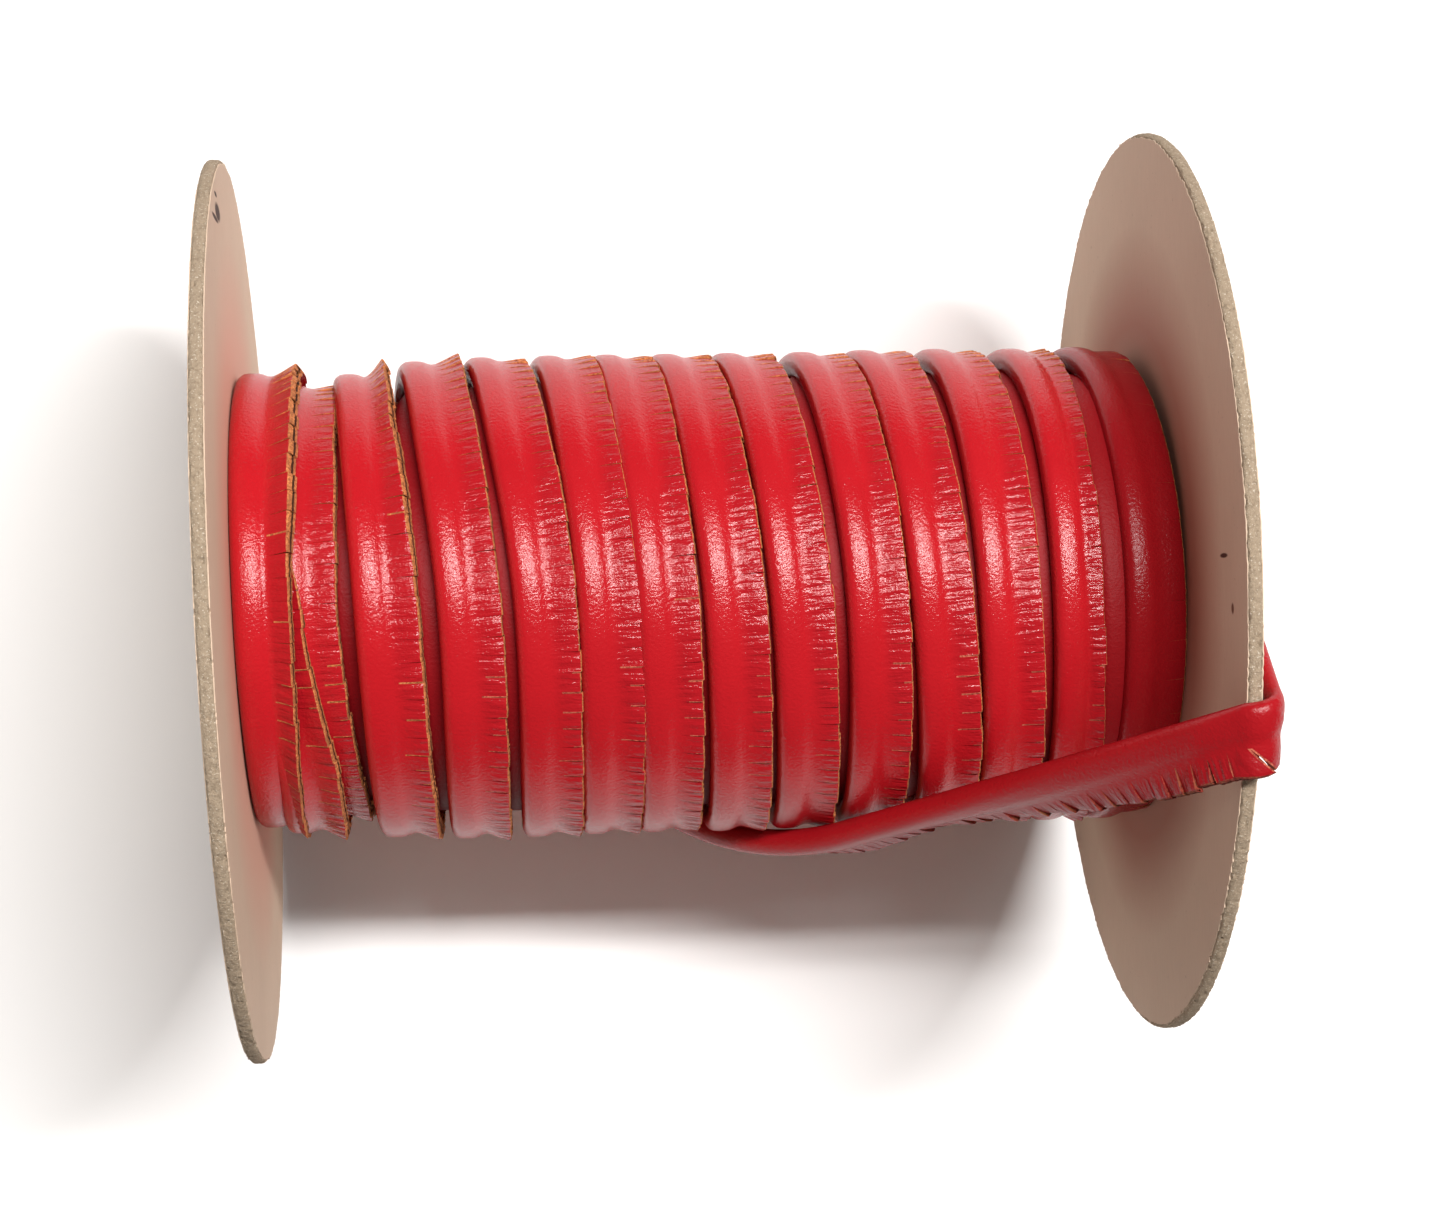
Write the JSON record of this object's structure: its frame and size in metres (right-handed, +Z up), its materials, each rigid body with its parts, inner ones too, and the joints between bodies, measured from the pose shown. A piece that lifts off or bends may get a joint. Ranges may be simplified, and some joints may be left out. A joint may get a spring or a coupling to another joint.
{
  "type": "leather piping spool",
  "caption": "Chipboard reel wound with snipped leather piping, its loose end folded over one rim.",
  "frame": {"origin": "on the arbor hole's axis, midway between the two flanges", "axes": "+X along the reel's axis towards the flange that the loose end folds over, +Z up when the reel lies on its rims; symmetric apart from the winding and the loose end"},
  "size_m": [0.1605, 0.1524, 0.1561],
  "materials": {
    "red_leather": "glossy",
    "filler_cord": "twisted cotton",
    "chipboard": "grey pressed fibre",
    "liner_paper": "smooth matte paper"
  },
  "bodies": {
    "spool": {"left_flange_board": "chipboard", "left_flange_inner_liner": "liner_paper", "left_flange_outer_liner": "liner_paper", "right_flange_board": "chipboard", "right_flange_inner_liner": "liner_paper", "right_flange_outer_liner": "liner_paper", "core_tube": "chipboard", "core_tube_wrap": "liner_paper", "layer_1_leather": "red_leather", "layer_1_cord": "filler_cord", "layer_2_leather": "red_leather", "layer_2_cord": "filler_cord", "layer_3_leather": "red_leather", "layer_3_cord": "filler_cord", "crossover_leather": "red_leather", "crossover_cord": "filler_cord"},
    "tail_run": {"tail_run_leather": "red_leather", "tail_run_cord": "filler_cord"},
    "tail_end": {"tail_end_leather": "red_leather", "tail_end_cord": "filler_cord"}
  },
  "joints": [
    {"name": "tail_lift", "type": "hinge", "parent": "spool", "child": "tail_run", "pos_m": [0, -0.04297, 0.01355], "axis": [1, 0, 0], "range_deg": [0, 90]},
    {"name": "tail_fold", "type": "hinge", "parent": "tail_run", "child": "tail_end", "pos_m": [0.07815, -0.02121, 0.07647], "axis": [0, -0.9636, -0.2672], "range_deg": [0, 120]}
  ]
}
